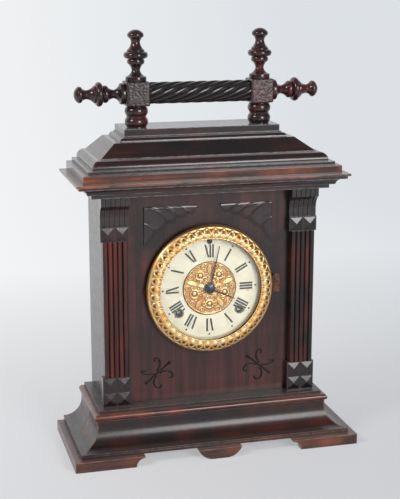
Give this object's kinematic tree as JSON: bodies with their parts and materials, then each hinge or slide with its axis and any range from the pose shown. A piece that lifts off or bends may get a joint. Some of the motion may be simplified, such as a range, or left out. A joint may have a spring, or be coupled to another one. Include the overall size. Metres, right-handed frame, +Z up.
{
  "type": "mantel clock",
  "caption": "Carved wooden cabinet clock with coved base, reeded pilasters, stepped roof, turned gallery, opening bezel, pendulum movement and coil gong.",
  "frame": {"origin": "middle of the base on the floor", "axes": "+Z up, -Y out of the dial towards the viewer, +X to the right of the dial"},
  "size_m": [0.355, 0.145, 0.5094],
  "materials": {
    "dark_wood": "glossy dark varnish",
    "brass": "satin",
    "gilt_brass": "polished",
    "steel": "satin",
    "blued_steel": "blued",
    "dial_paint": "satin cream",
    "clear_glass": "clear",
    "cast_iron": "black"
  },
  "bodies": {
    "case": {"plinth": "dark_wood", "base_board": "dark_wood", "base_cove": "dark_wood", "base_cap": "dark_wood", "base_step": "dark_wood", "side_panels": "dark_wood", "front_panel": "dark_wood", "back_board": "dark_wood", "pilaster_shafts": "dark_wood", "pilaster_capitals": "dark_wood", "pilaster_blocks": "dark_wood", "cornice_bed": "dark_wood", "cornice_shelf": "dark_wood", "cornice_fascia": "dark_wood", "roof_ovolo": "dark_wood", "roof_slope": "dark_wood", "top_plate": "dark_wood", "gallery_posts": "dark_wood", "gallery_blocks": "dark_wood", "gallery_rail": "dark_wood", "gallery_finials": "dark_wood", "spandrels": "dark_wood", "back_door_hinges": "brass", "dial_eyelets": "brass", "bezel_hinge": "brass", "movement_front_plate": "brass", "movement_back_plate": "brass", "movement_pillars": "brass", "dial_centre": "gilt_brass", "clicks": "steel", "gong": "steel", "dial_pan": "dial_paint", "gong_stand": "cast_iron"},
    "bezel": {"bezel_ring": "gilt_brass", "bezel_glass": "clear_glass"},
    "minute_work": {"minute_hand": "blued_steel", "hand_nut": "blued_steel", "cannon_pinion": "brass"},
    "minute_wheel": {"minute_wheel": "brass"},
    "hour_work": {"hour_hand": "blued_steel", "hour_wheel": "brass"},
    "third_wheel": {"third_wheel": "brass"},
    "centre_arbor": {"centre_arbor": "brass"},
    "time_barrel": {"time_barrel": "brass", "time_mainspring": "steel"},
    "escape_wheel": {"escape_wheel": "brass"},
    "time_winding_arbor": {"time_winding_arbor": "steel"},
    "pin_wheel": {"pin_wheel": "brass"},
    "strike_barrel": {"strike_barrel": "brass", "strike_mainspring": "steel"},
    "fly": {"fly": "brass"},
    "strike_winding_arbor": {"strike_winding_arbor": "steel"},
    "pendulum": {"pendulum_rod": "steel", "pendulum_bob": "brass"},
    "verge": {"verge": "steel"},
    "hammer": {"hammer": "brass"},
    "back_door": {"back_door": "dark_wood", "back_door_leaves": "brass"},
    "turn_button": {"turn_button": "brass"},
    "regulator_arbor": {"regulator_arbor": "steel"}
  },
  "joints": [
    {"name": "bezel_hinge", "type": "hinge", "parent": "case", "child": "bezel", "pos_m": [0.082, -0.0182, 0.2005], "axis": [0, 0, 1], "range_deg": [0, 105]},
    {"name": "minute_hand_turn", "type": "hinge", "parent": "case", "child": "minute_work", "pos_m": [0, -0.01, 0.2005], "axis": [0, 1, 0], "continuous": true},
    {"name": "minute_wheel_turn", "type": "hinge", "parent": "case", "child": "minute_wheel", "pos_m": [0, -0.005, 0.1825], "axis": [0, 1, 0], "continuous": true},
    {"name": "hour_hand_turn", "type": "hinge", "parent": "case", "child": "hour_work", "pos_m": [0, -0.01, 0.2005], "axis": [0, 1, 0], "continuous": true},
    {"name": "third_wheel_turn", "type": "hinge", "parent": "case", "child": "third_wheel", "pos_m": [0.01325, 0.017, 0.21899], "axis": [0, 1, 0], "continuous": true},
    {"name": "centre_arbor_turn", "type": "hinge", "parent": "case", "child": "centre_arbor", "pos_m": [0, 0.017, 0.2005], "axis": [0, 1, 0], "continuous": true},
    {"name": "time_barrel_turn", "type": "hinge", "parent": "case", "child": "time_barrel", "pos_m": [0.0382, 0.017, 0.1715], "axis": [0, 1, 0], "continuous": true},
    {"name": "escape_wheel_turn", "type": "hinge", "parent": "case", "child": "escape_wheel", "pos_m": [0, 0.017, 0.2315], "axis": [0, 1, 0], "continuous": true},
    {"name": "time_winding", "type": "hinge", "parent": "case", "child": "time_winding_arbor", "pos_m": [0.0382, 0.01, 0.1715], "axis": [0, 1, 0], "continuous": true},
    {"name": "pin_wheel_turn", "type": "hinge", "parent": "case", "child": "pin_wheel", "pos_m": [-0.052, 0.017, 0.21747], "axis": [0, 1, 0], "continuous": true},
    {"name": "strike_barrel_turn", "type": "hinge", "parent": "case", "child": "strike_barrel", "pos_m": [-0.0382, 0.017, 0.1715], "axis": [0, 1, 0], "continuous": true},
    {"name": "fly_turn", "type": "hinge", "parent": "case", "child": "fly", "pos_m": [-0.03515, 0.017, 0.23161], "axis": [0, 1, 0], "continuous": true},
    {"name": "strike_winding", "type": "hinge", "parent": "case", "child": "strike_winding_arbor", "pos_m": [-0.0382, 0.01, 0.1715], "axis": [0, 1, 0], "continuous": true},
    {"name": "pendulum_swing", "type": "hinge", "parent": "case", "child": "pendulum", "pos_m": [0, 0.044, 0.2505], "axis": [0, 1, 0], "range_deg": [-4, 4]},
    {"name": "verge_rock", "type": "hinge", "parent": "case", "child": "verge", "pos_m": [0, 0.02, 0.2505], "axis": [0, 1, 0], "range_deg": [-4, 4]},
    {"name": "hammer_lift", "type": "hinge", "parent": "case", "child": "hammer", "pos_m": [-0.0525, 0.04, 0.1905], "axis": [0, 1, 0], "range_deg": [0, 15], "stiffness_Nm_per_rad": 0.02, "springref_deg": -5.73},
    {"name": "back_door_hinge", "type": "hinge", "parent": "case", "child": "back_door", "pos_m": [-0.062, 0.0704, 0.1761], "axis": [0, 0, 1], "range_deg": [0, 110]},
    {"name": "turn_button_turn", "type": "hinge", "parent": "case", "child": "turn_button", "pos_m": [0.07, 0.07, 0.1761], "axis": [0, 1, 0], "range_deg": [0, 90]},
    {"name": "regulator_turn", "type": "hinge", "parent": "case", "child": "regulator_arbor", "pos_m": [0, 0.01, 0.259], "axis": [0, 1, 0], "range_deg": [-360, 360]}
  ],
  "couplings": [
    {"joint": "minute_wheel_turn", "follows": "minute_hand_turn", "ratio": -0.33333},
    {"joint": "hour_hand_turn", "follows": "minute_hand_turn", "ratio": 0.083333},
    {"joint": "centre_arbor_turn", "follows": "third_wheel_turn", "ratio": -0.083333},
    {"joint": "time_barrel_turn", "follows": "third_wheel_turn", "ratio": 0.011905},
    {"joint": "escape_wheel_turn", "follows": "third_wheel_turn", "ratio": -12.5},
    {"joint": "strike_barrel_turn", "follows": "pin_wheel_turn", "ratio": -0.14286},
    {"joint": "fly_turn", "follows": "pin_wheel_turn", "ratio": -10},
    {"joint": "verge_rock", "follows": "pendulum_swing", "ratio": 1}
  ]
}
